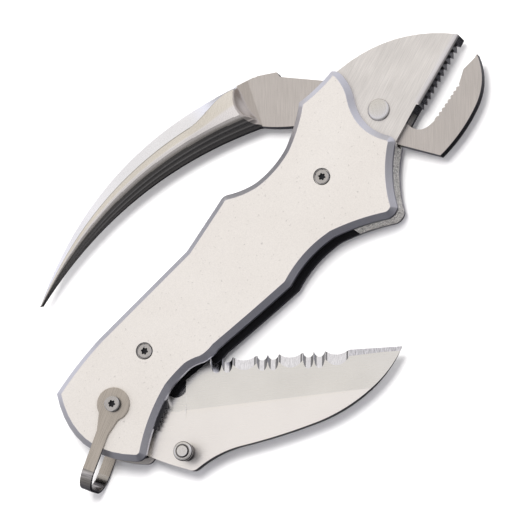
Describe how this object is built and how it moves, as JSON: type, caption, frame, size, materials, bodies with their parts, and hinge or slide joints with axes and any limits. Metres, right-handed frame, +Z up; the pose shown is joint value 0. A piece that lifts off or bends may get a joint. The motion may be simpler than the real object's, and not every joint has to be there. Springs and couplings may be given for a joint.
{
  "type": "rigging knife",
  "caption": "Folding rigging knife with a part-serrated blade, a curved marlinspike that works toothed plier jaws, bevelled scales and a lanyard bail.",
  "frame": {"origin": "centre of the plain head of the blade pivot, on the surface that the knife lies on", "axes": "+X from the blade pivot to the jaw pivot, +Y towards the spike, +Z up through the layers, out of the front scale"},
  "size_m": [0.1639, 0.0966, 0.0186],
  "materials": {
    "scale": "fine bead blasted, with brushed bevels",
    "liner": "dark blasted",
    "frame_steel": "cast, brushed on the faces",
    "lever_steel": "forged, brushed tang, polished spike",
    "blade_steel": "satin, polished bevel",
    "bail_steel": "tumbled",
    "screw_steel": "turned",
    "steel_satin": "turned and polished",
    "washer": "bronze sheet"
  },
  "bodies": {
    "handle": {"front_scale": "scale", "back_scale": "scale", "front_liner": "liner", "back_liner": "liner", "jaw_frame": "frame_steel", "back_spacer": "liner", "spacer_pins": "steel_satin", "lower_standoff": "steel_satin", "upper_standoff": "steel_satin", "lower_screw_front": "screw_steel", "lower_screw_back": "screw_steel", "upper_screw_front": "screw_steel", "upper_screw_back": "screw_steel", "pivot_barrel": "steel_satin", "pivot_screw": "screw_steel", "blade_washer_front": "washer", "blade_washer_back": "washer", "stop_pin": "steel_satin", "detent_ball": "steel_satin", "jaw_rivet": "steel_satin", "lever_washer_front": "washer", "lever_washer_back": "washer"},
    "blade": {"blade": "blade_steel", "thumb_stud_front": "steel_satin", "thumb_stud_back": "steel_satin"},
    "lever": {"spike_lever": "lever_steel"},
    "bail": {"bail": "bail_steel"}
  },
  "joints": [
    {"name": "blade_pivot", "type": "hinge", "parent": "handle", "child": "blade", "pos_m": [0, 0, 0.0093], "axis": [0, 0, 1], "range_deg": [-138.5, 41.5]},
    {"name": "jaw_pivot", "type": "hinge", "parent": "handle", "child": "lever", "pos_m": [0.11, 0, 0.0093], "axis": [0, 0, 1], "range_deg": [0, 13]},
    {"name": "bail_pivot", "type": "hinge", "parent": "handle", "child": "bail", "pos_m": [0, 0, 0.0093], "axis": [0, 0, 1], "range_deg": [-84, 26]}
  ],
  "couplings": [
    {"joint": "bail_pivot", "follows": "blade_pivot", "ratio": 0.6}
  ]
}
